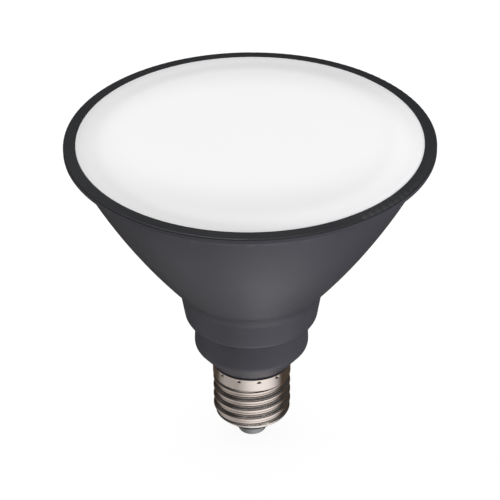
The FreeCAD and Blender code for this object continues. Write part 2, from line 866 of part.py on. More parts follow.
def chip(piece):
    """Flat package on the board's back with legs down both sides."""
    at = piece["at"]
    legs = piece["legs"]
    leg_width = piece["leg_width"]
    body = back_box(at, piece["width"], piece["length"], piece["height"])
    for index in range(legs):
        across = at[0] + piece["width"] * ((index + 0.5) / legs - 0.5)
        span = piece["length"] + 2 * chip_leg_reach
        foot = back_box((across, at[1]), leg_width, span, chip_leg_wall)
        knee = back_box((across, at[1]), leg_width, span - chip_leg_reach, piece["height"] / 2)
        body = body.fuse([foot, knee])
    return body


def make_bridge_rectifier():
    """Four-legged bridge package."""
    return chip(bridge)


def make_driver_ic():
    """Eight-legged driver chip."""
    return chip(driver_ic)


def make_output_diode():
    """Two-legged diode package."""
    return chip(output_diode)


def bent_lead(start, elbow, end):
    """A lead that leaves along the piece and bends into the board."""
    return tube([start, elbow, end], [fuse_bend], lead_radius)


def make_fusible_resistor():
    """Axial resistor with end caps wider than its waist, its leads bent into the board."""
    across, up = fuse_resistor["at"]
    radius = fuse_resistor["radius"]
    half = fuse_resistor["length"] / 2
    depth = board_front + radius
    body = Part.makeCylinder(radius - resistor_waist, 2 * half, Vector(across, depth, up - half))
    cap_length = half / 2
    for low in (up - half, up + half - cap_length):
        body = body.fuse(Part.makeCylinder(radius, cap_length, Vector(across, depth, low)))
    for side in (-1, 1):
        start = Vector(across, depth, up + side * (half - lead_radius))
        elbow = Vector(across, depth, up + side * fuse_resistor["spacing"] / 2)
        end = Vector(across, board_back - solder_tail, elbow.z)
        body = body.fuse(bent_lead(start, elbow, end))
    return body


def make_varistor():
    """Coated disc that stands on two leads."""
    across, up = varistor["at"]
    middle = board_front + varistor["lift"] + varistor["radius"]
    start = Vector(across - varistor["wall"] / 2, middle, up)
    disc = Part.makeCylinder(varistor["radius"], varistor["wall"], start, Vector(1, 0, 0))
    half = varistor["spacing"] / 2
    lift = varistor["lift"] + varistor["radius"] / 2
    return disc.fuse(leads(varistor["at"], [(0, -half), (0, half)], lift))


def drilled_places():
    """Every place where a lead or a wire goes through the driver board."""
    places = []

    def add(at, offsets):
        places.extend((at[0] + across, at[1] + up) for across, up in offsets)

    for piece in (input_capacitor, output_capacitor, film_capacitor):
        half = piece["spacing"] / 2
        add(piece["at"], [(-half, 0), (half, 0)])
    for piece in (choke, varistor, fuse_resistor):
        half = piece["spacing"] / 2
        add(piece["at"], [(0, -half), (0, half)])
    add(transformer["at"], transformer_pins())
    return places


def make_driver_board():
    """Circuit board with a narrow tongue in the cap and a wide head under the cup."""
    half_tongue = half_chord(spigot_bore) - tongue_gap
    half_board = half_board_width()
    half_head = half_board + board_head_step
    top = tongue_foot() + board_height
    head = top - board_head_height
    shoulder = half_chord(seat_radius) - slot_fit
    slope_top = housing_foot + ring_two_corner_height + wall / 2
    right = [
        (half_tongue, tongue_foot()),
        (half_tongue, board_seat),
        (shoulder, board_seat),
        (half_board, slope_top + slot_fit),
        (half_board, head - (half_head - half_board)),
        (half_head, head),
        (half_head, top),
    ]
    corners = right + [(-across, up) for across, up in reversed(right)]
    loop = [Vector(across, board_front, up) for across, up in corners]
    outline = Part.makePolygon(loop + loop[:1])
    board = Part.Face(outline).extrude(Vector(0, -board_wall, 0))
    holes = []
    for across, up in drilled_places():
        start = Vector(across, board_back - solder_tail, up)
        hole = Part.makeCylinder(lead_radius + drill_fit, board_wall + 2 * solder_tail, start, OUT_OF_BOARD)
        holes.append(hole)
    return board.cut(holes)


def tongue_foot():
    """Height of the driver board's lower end, inside the spigot."""
    return spigot_level + 2 * wire_fit


def half_chord(radius):
    """Half the width that the board's back face has inside a round of a radius."""
    return math.sqrt(radius ** 2 - board_back ** 2)


def half_board_width():
    """Half width of the board between the guide ribs."""
    return half_chord(min(ring_two_corner_radius, ring_two_top_radius) - wall) - board_edge_gap


# Wires

def make_live_wire():
    """Insulated wire from the board's foot to the centre contact."""
    across, up = mains_pads["live"]
    depth = board_front + mains_wire_radius
    insulator_top = lip_level + insulator_flange_height
    points = [
        Vector(across, depth, up),
        Vector(across, depth, tongue_foot()),
        Vector(0, 0, (insulator_top + tongue_foot()) / 2),
        Vector(0, 0, contact_wall),
    ]
    return tube(points, wide_bends(points), mains_wire_radius)


def make_neutral_wire():
    """Stripped wire that leaves the spigot and turns back up its outside under the cap."""
    across, up = mains_pads["neutral"]
    depth = board_front + stripped_wire_radius
    inside = spigot_bore - stripped_wire_radius - wire_fit
    outside = spigot_radius - stripped_wire_radius
    turn = (outside - inside) / 2
    low = spigot_level - stripped_wire_radius - wire_fit - turn
    points = [
        Vector(across, depth, up),
        Vector(across, depth, spigot_level + neutral_wire_step + neutral_wire_drop),
        Vector(0, inside / 2, spigot_level + neutral_wire_step),
        Vector(0, inside, low),
        Vector(0, outside, low),
        Vector(0, outside, spigot_level + neutral_wire_rise()),
    ]
    bends = wide_bends(points)
    bends[-2:] = [turn - lip_fit / 2, turn - lip_fit / 2]
    return tube(points, bends, stripped_wire_radius)


def led_wire(name, side):
    """Wire from the driver board's head up through the cup to a pad on the LED board."""
    across, up = led_pads[name]
    depth = board_front + led_wire_radius
    near = wire_hole_radius - led_wire_radius - wire_fit
    arch = led_board_top + led_wire_arch
    pad = wire_hole_radius + led_wire_arch
    points = [
        Vector(across, depth, up),
        Vector(across, depth, up + led_wire_run),
        Vector(side * near, 0, cup_plate_level - led_wire_run),
        Vector(side * near, 0, arch),
        Vector(side * pad, 0, arch),
        Vector(side * pad, 0, led_board_top),
    ]
    return tube(points, wide_bends(points), led_wire_radius)


def make_led_wire_positive():
    """Red wire to the LED string."""
    return led_wire("positive", -1)


def make_led_wire_negative():
    """Black wire to the LED string."""
    return led_wire("negative", 1)


nodes = {
    "lens": make_lens,
    "bezel_ring": make_bezel_ring,
    "housing": make_housing,
    "heat_sink_cup": make_heat_sink_cup,
    "led_board": make_led_board,
    "leds": make_leds,
    "led_board_screws": make_led_board_screws,
    "driver_board": make_driver_board,
    "input_capacitor": make_input_capacitor,
    "output_capacitor": make_output_capacitor,
    "transformer_core": make_transformer_core,
    "transformer_bobbin": make_transformer_bobbin,
    "transformer_winding": make_transformer_winding,
    "emi_choke": make_emi_choke,
    "film_capacitor": make_film_capacitor,
    "bridge_rectifier": make_bridge_rectifier,
    "driver_ic": make_driver_ic,
    "output_diode": make_output_diode,
    "fusible_resistor": make_fusible_resistor,
    "varistor": make_varistor,
    "live_wire": make_live_wire,
    "neutral_wire": make_neutral_wire,
    "led_wire_positive": make_led_wire_positive,
    "led_wire_negative": make_led_wire_negative,
    "screw_shell": make_screw_shell,
    "cap_insulator": make_cap_insulator,
    "centre_contact": make_centre_contact,
}

os.makedirs("parts", exist_ok=True)
for name, make in nodes.items():
    shape = make()
    shape.exportStep("parts/" + name + ".step")
    print(name, "solids", len(shape.Solids), "valid", shape.isValid(), "volume", round(shape.Volume, 1))
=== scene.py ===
import json
import math

import bmesh
import bpy
from mathutils import Matrix, Vector


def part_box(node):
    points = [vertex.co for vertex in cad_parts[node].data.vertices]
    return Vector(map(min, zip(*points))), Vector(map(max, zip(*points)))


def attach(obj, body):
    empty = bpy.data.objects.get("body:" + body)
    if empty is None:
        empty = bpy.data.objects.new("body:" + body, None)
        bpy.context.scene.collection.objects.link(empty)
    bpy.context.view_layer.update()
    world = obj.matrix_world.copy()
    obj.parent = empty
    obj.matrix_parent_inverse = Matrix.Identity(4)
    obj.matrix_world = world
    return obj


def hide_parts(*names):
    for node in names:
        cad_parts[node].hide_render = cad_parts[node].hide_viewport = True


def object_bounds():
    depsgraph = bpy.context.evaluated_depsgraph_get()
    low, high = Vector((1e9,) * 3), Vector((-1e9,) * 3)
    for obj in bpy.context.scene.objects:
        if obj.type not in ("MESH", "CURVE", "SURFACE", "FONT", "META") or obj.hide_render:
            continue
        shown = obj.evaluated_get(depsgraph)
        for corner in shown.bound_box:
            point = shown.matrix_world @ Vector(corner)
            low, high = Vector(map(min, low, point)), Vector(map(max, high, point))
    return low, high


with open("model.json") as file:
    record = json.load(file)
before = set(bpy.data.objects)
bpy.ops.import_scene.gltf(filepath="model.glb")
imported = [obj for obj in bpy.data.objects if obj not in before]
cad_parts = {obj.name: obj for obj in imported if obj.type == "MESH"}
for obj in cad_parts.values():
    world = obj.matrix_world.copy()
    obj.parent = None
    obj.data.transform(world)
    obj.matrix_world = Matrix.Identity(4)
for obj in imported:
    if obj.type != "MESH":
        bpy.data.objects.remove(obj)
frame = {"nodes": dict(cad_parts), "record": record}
cad_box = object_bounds()

# %% [markdown]
# # A reflector spotlight bulb
#
# This lesson dresses an LED spotlight lamp. Its pieces come ready made at their
# real size: a flared plastic housing, an opal lens under a thin bezel, a rolled
# metal screw cap and everything that sits inside. The lesson gives each of them
# its finish, makes the rolled cap and the rings of LEDs from rules, and lights
# the lamp on a white sweep, as a maker's picture would.
#
# All lengths are in metres. Small sizes are written in millimetres and turned
# into metres with the value below.

# %% Units
MM = 0.001
print("The lamp's box runs from", tuple(cad_box[0]), "to", tuple(cad_box[1]))

# %% [markdown]
# ## Where the camera stands
#
# The picture was taken from about 0.9 m away, looking down at the lens by some
# 30 degrees, with a long lens, so the lamp's sides hardly converge. A camera
# could be placed by eye, but the ellipse of the rim gives its place exactly, so
# the camera below is set with numbers: where it stands, how far it looks down,
# and its focal length in pixels of the 500 pixel picture.

# %% Camera
PICTURE_WIDTH = 500
FOCAL_PIXELS = 2842.7
SENSOR_WIDTH = 36.0
CAMERA_BACK = 796.83 * MM
CAMERA_ABOVE_BEZEL = 460.32 * MM
CAMERA_PITCH = 32.2302
CAMERA_YAW = -0.02
CAMERA_ROLL = -0.4477

bezel_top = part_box("bezel_ring")[1].z
camera_data = bpy.data.cameras.new("camera")
camera_data.sensor_width = SENSOR_WIDTH
camera_data.lens = FOCAL_PIXELS / PICTURE_WIDTH * SENSOR_WIDTH
camera = bpy.data.objects.new("camera", camera_data)
camera.location = (0.0, -CAMERA_BACK, bezel_top + CAMERA_ABOVE_BEZEL)
turn = Matrix.Rotation(math.radians(-CAMERA_YAW), 4, "Z")
tilt = Matrix.Rotation(math.radians(90 - CAMERA_PITCH), 4, "X")
roll = Matrix.Rotation(math.radians(CAMERA_ROLL), 4, "Z")
camera.rotation_euler = (turn @ tilt @ roll).to_euler()
bpy.context.scene.collection.objects.link(camera)
bpy.context.scene.camera = camera
print("Camera lens:", round(camera_data.lens, 1), "mm")

# %% [markdown]
# ## Finishes: effects that several materials share
#
# A moulded plastic wall is never one flat colour. The mould leaves a fine grain,
# and hands and handling leave broad, faint changes of gloss. Rolled and turned
# metal has fine lines round its axis instead. Both effects are made once, as
# node groups, and each material places them with its own sizes. They could be
# painted images, but noise keeps its sharpness at any distance.

# %% Helpers that write a tree of nodes
def place(nodes, kind, **settings):
    """Add a node to a tree and set its plain properties by name."""
    node = nodes.new(kind)
    for name, value in settings.items():
        setattr(node, name, value)
    return node


def feed(link, node, inputs):
    """Join or set a node's inputs, by name or number."""
    for name, value in inputs.items():
        if isinstance(value, bpy.types.NodeSocket):
            link(value, node.inputs[name])
        else:
            node.inputs[name].default_value = value


def maths(nodes, link, operation, *values):
    """One step of arithmetic on sockets or numbers."""
    node = place(nodes, "ShaderNodeMath", operation=operation)
    feed(link, node, dict(enumerate(values)))
    return node.outputs["Value"]


# %% Group: moulded grain
def group_sockets(group, inputs, outputs):
    """Give a shader group its named number inputs and outputs."""
    for name, value in inputs.items():
        socket = group.interface.new_socket(name, in_out="INPUT", socket_type="NodeSocketFloat")
        socket.default_value = value
    for name in outputs:
        group.interface.new_socket(name, in_out="OUTPUT", socket_type="NodeSocketFloat")
    return group.nodes.new("NodeGroupInput"), group.nodes.new("NodeGroupOutput")


def make_grain_group():
    """Fine mould grain and broad handling marks, from Object coordinates."""
    group = bpy.data.node_groups.new("Moulded grain", "ShaderNodeTree")
    sizes = {"Grain Scale": 3000.0, "Cloud Scale": 30.0}
    start, end = group_sockets(group, sizes, ["Grain", "Cloud"])
    where = place(group.nodes, "ShaderNodeTexCoord")
    fine = place(group.nodes, "ShaderNodeTexNoise")
    fine.inputs["Detail"].default_value = 2.0
    broad = place(group.nodes, "ShaderNodeTexNoise")
    broad.inputs["Detail"].default_value = 3.0
    link = group.links.new
    link(where.outputs["Object"], fine.inputs["Vector"])
    link(where.outputs["Object"], broad.inputs["Vector"])
    link(start.outputs["Grain Scale"], fine.inputs["Scale"])
    link(start.outputs["Cloud Scale"], broad.inputs["Scale"])
    link(fine.outputs["Fac"], end.inputs["Grain"])
    link(broad.outputs["Fac"], end.inputs["Cloud"])
    return group


grain_group = make_grain_group()


# %% Group: lines round the axis
def make_line_group():
    """Fine lines round the lamp's axis, as rolling and polishing leave them."""
    group = bpy.data.node_groups.new("Rolled lines", "ShaderNodeTree")
    start, end = group_sockets(group, {"Line Scale": 4000.0, "Stretch": 0.03}, ["Lines", "Cloud"])
    where = place(group.nodes, "ShaderNodeTexCoord")
    split = place(group.nodes, "ShaderNodeSeparateXYZ")
    joined = place(group.nodes, "ShaderNodeCombineXYZ")
    noise = place(group.nodes, "ShaderNodeTexNoise")
    noise.inputs["Detail"].default_value = 3.0
    broad = place(group.nodes, "ShaderNodeTexNoise")
    broad.inputs["Scale"].default_value = 160.0
    link = group.links.new
    link(where.outputs["Object"], split.inputs["Vector"])
    angle = maths(group.nodes, link, "ARCTAN2", split.outputs["Y"], split.outputs["X"])
    slow = maths(group.nodes, link, "MULTIPLY", angle, start.outputs["Stretch"])
    link(slow, joined.inputs["X"])
    link(split.outputs["Z"], joined.inputs["Z"])
    link(joined.outputs["Vector"], noise.inputs["Vector"])
    link(start.outputs["Line Scale"], noise.inputs["Scale"])
    link(where.outputs["Object"], broad.inputs["Vector"])
    link(noise.outputs["Fac"], end.inputs["Lines"])
    link(broad.outputs["Fac"], end.inputs["Cloud"])
    return group


line_group = make_line_group()
print("Shared effects:", grain_group.name, "and", line_group.name)


# %% Helpers that join an effect to a shader
MASK_SPREAD = (0.35, 0.65)


def new_material(name):
    """A plain node material: returns it, its nodes, its way to link and its shader."""
    material = bpy.data.materials.new(name)
    material.use_nodes = True
    nodes = material.node_tree.nodes
    shader = nodes["Principled BSDF"]
    return material, nodes, material.node_tree.links.new, shader


def between(nodes, link, mask, low, high, socket):
    """Drive a number socket from a noise mask, between two values."""
    spread = place(nodes, "ShaderNodeMapRange")
    limits = {"From Min": MASK_SPREAD[0], "From Max": MASK_SPREAD[1], "To Min": low, "To Max": high}
    feed(link, spread, {"Value": mask, **limits})
    link(spread.outputs["Result"], socket)


def blend(nodes, link, mask, dark, light, socket):
    """Drive a colour socket from a mask, between two colours."""
    mix = place(nodes, "ShaderNodeMix", data_type="RGBA")
    feed(link, mix, {"A": dark, "B": light, "Factor": mask})
    link(mix.outputs["Result"], socket)


def raise_bump(nodes, link, height, distance, strength, shader):
    """Join a height to a shader's normal through a bump."""
    bump = place(nodes, "ShaderNodeBump")
    feed(link, bump, {"Distance": distance, "Strength": strength, "Height": height})
    link(bump.outputs["Normal"], shader.inputs["Normal"])


# %% [markdown]
# ## Plastic finishes
#
# The housing is a dark grey moulding with a fine satin grain. Light glides over
# it without a sharp reflection, so its roughness is about a half, and the grain
# is bump and not geometry. The same recipe makes every other plastic in the
# lamp: only the two tones, the roughness and the grain's size change. Tones are
# written as a screen shows them, and a helper turns them into a shader's values.

# %% Tones
def tone(red, green, blue):
    """Turn a screen colour, 0 to 255, into the linear colour that a shader takes."""
    linear = []
    for value in (red, green, blue):
        share = value / 255
        linear.append(share / 12.92 if share <= 0.04045 else ((share + 0.055) / 1.055) ** 2.4)
    return (*linear, 1.0)


print("Mid grey on a screen is", round(tone(128, 128, 128)[0], 3), "to a shader")


# %% Moulded plastic
GRAIN_DEPTH = 0.05 * MM


def moulded(name, dark, light, rough, grain, bump, cloud=30.0):
    """Moulded plastic with fine grain, between two tones and two roughnesses."""
    material, nodes, link, shader = new_material(name)
    effect = place(nodes, "ShaderNodeGroup", node_tree=grain_group)
    feed(link, effect, {"Grain Scale": grain, "Cloud Scale": cloud})
    blend(nodes, link, effect.outputs["Cloud"], dark, light, shader.inputs["Base Color"])
    between(nodes, link, effect.outputs["Cloud"], *rough, shader.inputs["Roughness"])
    raise_bump(nodes, link, effect.outputs["Grain"], GRAIN_DEPTH, bump, shader)
    return material


# Each row: two tones, the range of the roughness, the grain's scale and its bump.
outer_plastics = {
    "housing_plastic": (tone(68, 68, 76), tone(75, 75, 83), (0.42, 0.5), 2600.0, 0.3),
    "bezel_plastic": (tone(38, 39, 42), tone(44, 45, 48), (0.36, 0.44), 2600.0, 0.25),
    "cap_black": (tone(12, 12, 13), tone(20, 20, 21), (0.3, 0.4), 1500.0, 0.1),
}
finishes = {name: moulded(name, *look) for name, look in outer_plastics.items()}
dull_shader = finishes["cap_black"].node_tree.nodes["Principled BSDF"]
dull_shader.inputs["Specular IOR Level"].default_value = 0.0
print("Outer plastics:", ", ".join(outer_plastics))


# %% [markdown]
# ## The opal lens
#
# The lens is a milky moulding that spreads the light. Seen from the front it is
# almost white. Its colour also carries painted light: a painted highlight makes it
# a little brighter over the middle and softly greyer further out, and beside the
# bezel it is painted whitest, against the shade that falls where the edge turns
# down. A ball-shaped gradient, stretched over the lens and squeezed flat, marks the
# painted highlight, and a second marks the painted edge light.

# %% Opal moulding
# Painted light: the edge tone is painted white against the shade at the bezel, and the middle tone
# is a painted highlight.
PAINTED_EDGE_LIGHT_TONE = tone(255, 255, 255)
OUTER_TONE = tone(239, 239, 239)
PAINTED_HIGHLIGHT_TONE = tone(252, 252, 252)
LENS_ROUGH = (0.42, 0.5)
LENS_GRAIN_DEPTH = 0.02 * MM

# Each oval has a centre and half sizes, in shares of the lens's radius, and the
# limits of its soft edge, in shares of its half sizes.
PAINTED_HIGHLIGHT_OVAL = ((0.0, 0.04), (0.93, 0.66), (1.22, 0.72))
PAINTED_EDGE_LIGHT_OVAL = ((0.03, -0.03), (0.95, 0.95), (1.03, 0.93))

lens_low, lens_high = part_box("lens")
lens_radius = (lens_high.x - lens_low.x) / 2


def ramp(nodes, link, value, low, high, to_low=0.0, to_high=1.0):
    """A soft step of a value between two limits."""
    node = place(nodes, "ShaderNodeMapRange", interpolation_type="SMOOTHSTEP")
    limits = {"From Min": low, "From Max": high, "To Min": to_low, "To Max": to_high}
    feed(link, node, {"Value": value, **limits})
    return node.outputs["Result"]


def oval(nodes, link, centre, reach, soft_edge):
    """One inside an oval on the lens and nothing outside it, with a soft edge."""
    where = place(nodes, "ShaderNodeTexCoord")
    fit = place(nodes, "ShaderNodeMapping", vector_type="TEXTURE")
    spot = (centre[0] * lens_radius, centre[1] * lens_radius, lens_high.z)
    half_sizes = (reach[0] * lens_radius, reach[1] * lens_radius, 1.0)
    feed(link, fit, {"Vector": where.outputs["Object"], "Location": spot, "Scale": half_sizes})
    length = place(nodes, "ShaderNodeVectorMath", operation="LENGTH")
    link(fit.outputs["Vector"], length.inputs[0])
    return ramp(nodes, link, length.outputs["Value"], *soft_edge)


def opal(name):
    """Milky moulding with painted light: a painted white edge, an outer tone, a painted highlight
    in the middle.
    """
    material, nodes, link, shader = new_material(name)
    inside = place(nodes, "ShaderNodeMix", data_type="RGBA")
    feed(link, inside, {"A": PAINTED_EDGE_LIGHT_TONE, "Factor": oval(nodes, link, *PAINTED_EDGE_LIGHT_OVAL)})
    in_painted_highlight = oval(nodes, link, *PAINTED_HIGHLIGHT_OVAL)
    blend(nodes, link, in_painted_highlight, OUTER_TONE, PAINTED_HIGHLIGHT_TONE, inside.inputs["B"])
    link(inside.outputs["Result"], shader.inputs["Base Color"])
    effect = place(nodes, "ShaderNodeGroup", node_tree=grain_group)
    feed(link, effect, {"Grain Scale": 5000.0, "Cloud Scale": 12.0})
    between(nodes, link, effect.outputs["Cloud"], *LENS_ROUGH, shader.inputs["Roughness"])
    raise_bump(nodes, link, effect.outputs["Grain"], LENS_GRAIN_DEPTH, 0.1, shader)
    shader.inputs["Specular IOR Level"].default_value = 0.2
    return material


finishes["opal_lens"] = opal("opal_lens")
print("The lens is", round(2 * lens_radius / MM, 1), "mm across")


# %% [markdown]
# ## Metals
#
# The cap is thin brass sheet, rolled into its thread and plated with nickel: a
# warm, bright metal that mirrors what stands round it. The contact is pressed
# and tinned, so it is greyer and duller. The drawn aluminium cup inside has
# plain drawing lines. One recipe makes them all.

# %% Rolled and plated metal
LINE_DEPTH = 0.01 * MM


def metal(name, dull, bright, rough, lines, bump):
    """Bare or plated metal with fine lines round the axis."""
    material, nodes, link, shader = new_material(name)
    effect = place(nodes, "ShaderNodeGroup", node_tree=line_group)
    effect.inputs["Line Scale"].default_value = lines
    shader.inputs["Metallic"].default_value = 1.0
    blend(nodes, link, effect.outputs["Cloud"], dull, bright, shader.inputs["Base Color"])
    between(nodes, link, effect.outputs["Lines"], *rough, shader.inputs["Roughness"])
    raise_bump(nodes, link, effect.outputs["Lines"], LINE_DEPTH, bump, shader)
    return material


# Each row: two tones, the range of the roughness, the lines' scale and their bump.
metals = {
    "nickel_shell": (tone(236, 222, 213), tone(250, 240, 234), (0.1, 0.17), 3500.0, 0.12),
    "contact_metal": (tone(146, 146, 150), tone(160, 160, 163), (0.3, 0.42), 3000.0, 0.1),
    "drawn_aluminium": (tone(200, 201, 204), tone(220, 221, 223), (0.25, 0.4), 2500.0, 0.2),
    "zinc_screw": (tone(186, 188, 192), tone(206, 207, 210), (0.25, 0.35), 3000.0, 0.1),
    "tinned_wire": (tone(196, 194, 190), tone(214, 212, 208), (0.25, 0.35), 6000.0, 0.05),
}
finishes.update({name: metal(name, *look) for name, look in metals.items()})
print("Metals:", ", ".join(metals))


# %% [markdown]
# ## What is inside
#
# The parts on the driver board each have a coat of their own: shrunk sleeves,
# dipped coats, moulded boxes, tape and dull ferrite. They are all plastics to
# the eye, so the moulded recipe makes them too. The boards have a lacquer over
# copper, whose tracks show as slightly lighter, raised lines, and a brick
# pattern with wandering edges gives such tracks without drawing them.

# %% Coats and insulation
INNER_GRAIN = 2000.0
INNER_BUMP = 0.1
INNER_CLOUD = 120.0
inner_plastics = {
    "black_sleeve": (tone(26, 26, 32), tone(36, 36, 44), (0.2, 0.3)),
    "ferrite": (tone(44, 43, 42), tone(60, 59, 57), (0.55, 0.7)),
    "black_moulding": (tone(24, 24, 24), tone(34, 34, 34), (0.4, 0.55)),
    "yellow_tape": (tone(222, 178, 44), tone(236, 196, 60), (0.25, 0.35)),
    "yellow_box": (tone(214, 170, 40), tone(228, 188, 58), (0.25, 0.35)),
    "resistor_coat": (tone(118, 150, 128), tone(134, 166, 142), (0.4, 0.5)),
    "varistor_coat": (tone(36, 70, 150), tone(48, 84, 168), (0.3, 0.4)),
    "brown_insulation": (tone(92, 56, 34), tone(106, 68, 42), (0.35, 0.45)),
    "red_insulation": (tone(158, 30, 28), tone(174, 40, 36), (0.35, 0.45)),
    "black_insulation": (tone(22, 22, 22), tone(32, 32, 32), (0.35, 0.45)),
    "led_package": (tone(236, 236, 232), tone(246, 246, 242), (0.3, 0.4)),
    "phosphor": (tone(236, 206, 92), tone(246, 220, 112), (0.35, 0.5)),
}
for name, look in inner_plastics.items():
    finishes[name] = moulded(name, *look, INNER_GRAIN, INNER_BUMP, INNER_CLOUD)
print("Inner plastics:", len(inner_plastics))

# %% Lacquered boards
TRACK_OFFSET = 0.35
TRACK_GAP = 0.06
TRACK_HEIGHT = 0.03 * MM


def board(name, lacquer, track, track_size):
    """Lacquer over copper: tracks show lighter and slightly raised."""
    material, nodes, link, shader = new_material(name)
    where = place(nodes, "ShaderNodeTexCoord")
    turn_up = place(nodes, "ShaderNodeMapping")
    quarter_turn = (math.radians(90), 0.0, 0.0)
    feed(link, turn_up, {"Vector": where.outputs["Object"], "Rotation": quarter_turn})
    tracks = place(nodes, "ShaderNodeTexBrick", offset=TRACK_OFFSET)
    colours = {"Color1": track, "Color2": track, "Mortar": lacquer}
    sizes = {"Scale": 1 / track_size, "Mortar Size": TRACK_GAP}
    feed(link, tracks, {"Vector": turn_up.outputs["Vector"], **sizes, **colours})
    link(tracks.outputs["Color"], shader.inputs["Base Color"])
    raise_bump(nodes, link, tracks.outputs["Fac"], -TRACK_HEIGHT, 0.3, shader)
    shader.inputs["Roughness"].default_value = 0.3
    return material


finishes["circuit_board"] = board("circuit_board", tone(30, 74, 44), tone(44, 98, 58), 4.5 * MM)
finishes["white_board"] = board("white_board", tone(228, 228, 224), tone(240, 240, 236), 14.0 * MM)
print("Finishes made:", len(finishes))

# %% [markdown]
# ## Dressing the pieces
#
# Each piece names the finish that it takes. Flat-sided pieces keep their own
# mesh. Turned and rounded ones come as loose triangles, which would shade in
# facets, so a copy is joined into one surface and shaded smooth across every
# edge that bends less than a fillet's step. The copy then stands for the piece.

# %% Which piece has which finish
slot_of = {row["node"]: row["material_slot"] for row in frame["record"]["subparts"]}
boards = {"driver_board", "led_board"}
flat_sided = boards | {"transformer_core", "driver_ic", "bridge_rectifier", "output_diode"}
made_by_rule = {"screw_shell", "leds"}
FILLET_STEP = math.radians(24)
JOIN_DISTANCE = 0.001 * MM


def joined_copy(node):
    """Copy a piece with its triangles joined and its rounded faces shaded smooth."""
    mesh = frame["nodes"][node].data.copy()
    work = bmesh.new()
    work.from_mesh(mesh)
    bmesh.ops.remove_doubles(work, verts=work.verts, dist=JOIN_DISTANCE)
    work.to_mesh(mesh)
    work.free()
    mesh.shade_smooth()
    mesh.set_sharp_from_angle(angle=FILLET_STEP)
    piece = bpy.data.objects.new(node + "_finished", mesh)
    bpy.context.scene.collection.objects.link(piece)
    return piece


def dress(piece, material):
    """Give a piece one material."""
    piece.data.materials.clear()
    piece.data.materials.append(material)


def settle(piece, slot, *nodes):
    """Hang a finished piece on the root body and hide the pieces that it shows in their place; the
    slot is not used.
    """
    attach(piece, "root")
    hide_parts(*nodes)


for node, slot in slot_of.items():
    material = finishes["bezel_plastic" if node == "bezel_ring" else slot]
    if node in flat_sided:
        dress(frame["nodes"][node], material)
    elif node not in made_by_rule:
        copy = joined_copy(node)
        dress(copy, material)
        settle(copy, slot, node)
print("Dressed", len(slot_of) - len(made_by_rule), "pieces")

# %% [markdown]
# ## Trees of geometry nodes
#
# A tree of geometry nodes makes a mesh from numbers. The helpers below start a
# tree with named number inputs, add arithmetic in the order it is read, and turn
# the tree's result into a plain mesh. Each input is set by its identifier,
# because two sockets may share a name.

# %% Helpers for trees
class Tree:
    """A geometry node tree that is written step by step."""

    def __init__(self, name, sizes):
        self.group = bpy.data.node_groups.new(name, "GeometryNodeTree")
        sockets = self.group.interface
        sockets.new_socket("Geometry", in_out="OUTPUT", socket_type="NodeSocketGeometry")
        self.identifier = {}
        for label, value in sizes.items():
            kind = "NodeSocketInt" if isinstance(value, int) else "NodeSocketFloat"
            socket = sockets.new_socket(label, in_out="INPUT", socket_type=kind)
            socket.default_value = value
            self.identifier[label] = socket.identifier
        self.sizes = sizes
        self.start = self.group.nodes.new("NodeGroupInput")

    def size(self, label):
        """The socket of a named input."""
        return self.start.outputs[label]

    def add(self, kind, inputs=(), **settings):
        """Add a node, set its properties, and join or set its inputs by name or number."""
        node = place(self.group.nodes, "GeometryNode" + kind, **settings)
        self.feed(node, dict(inputs))
        return node

    def feed(self, node, inputs):
        """Join or set a node's inputs."""
        feed(self.group.links.new, node, inputs)

    def math(self, operation, *values):
        """One step of arithmetic on sockets or numbers."""
        return maths(self.group.nodes, self.group.links.new, operation, *values)

    def vector(self, **parts):
        """A vector from its parts."""
        node = place(self.group.nodes, "ShaderNodeCombineXYZ")
        self.feed(node, parts)
        return node.outputs["Vector"]

    def finish(self, geometry, material):
        """Realize instances, set the material if one is given, and end the tree."""
        real = self.add("RealizeInstances", {"Geometry": geometry})
        end = self.group.nodes.new("NodeGroupOutput")
        painted = self.add("SetMaterial", {"Geometry": real.outputs["Geometry"]})
        painted.inputs["Material"].default_value = material
        if material is None:
            painted.inputs["Selection"].default_value = False
        self.group.links.new(painted.outputs["Geometry"], end.inputs["Geometry"])

    def mesh_object(self, name):
        """Run the tree on an empty object and keep its result as a plain mesh."""
        empty = bpy.data.meshes.new(name + "_carrier")
        carrier = bpy.data.objects.new(name + "_carrier", empty)
        bpy.context.scene.collection.objects.link(carrier)
        modifier = carrier.modifiers.new(name, "NODES")
        modifier.node_group = self.group
        for label, value in self.sizes.items():
            modifier[self.identifier[label]] = value
        graph = bpy.context.evaluated_depsgraph_get()
        mesh = bpy.data.meshes.new_from_object(carrier.evaluated_get(graph))
        carrier.modifiers.remove(modifier)
        bpy.data.objects.remove(carrier)
        piece = bpy.data.objects.new(name, mesh)
        bpy.context.scene.collection.objects.link(piece)
        return piece


# %% [markdown]
# ## The rolled screw cap
#
# The cap is one thin sheet. Its wall follows a rule at every point: a round
# thread whose crest climbs one pitch for each turn, a rounded nose that ends in
# a flat lip, and a plain collar with twelve small crimps. The sheet could be
# swept along a helix, but then the thread would have to be joined to nose and
# collar. Here a flat grid is bent instead: one side of the grid runs round the
# axis, the other climbs it, and arithmetic gives each point its radius.

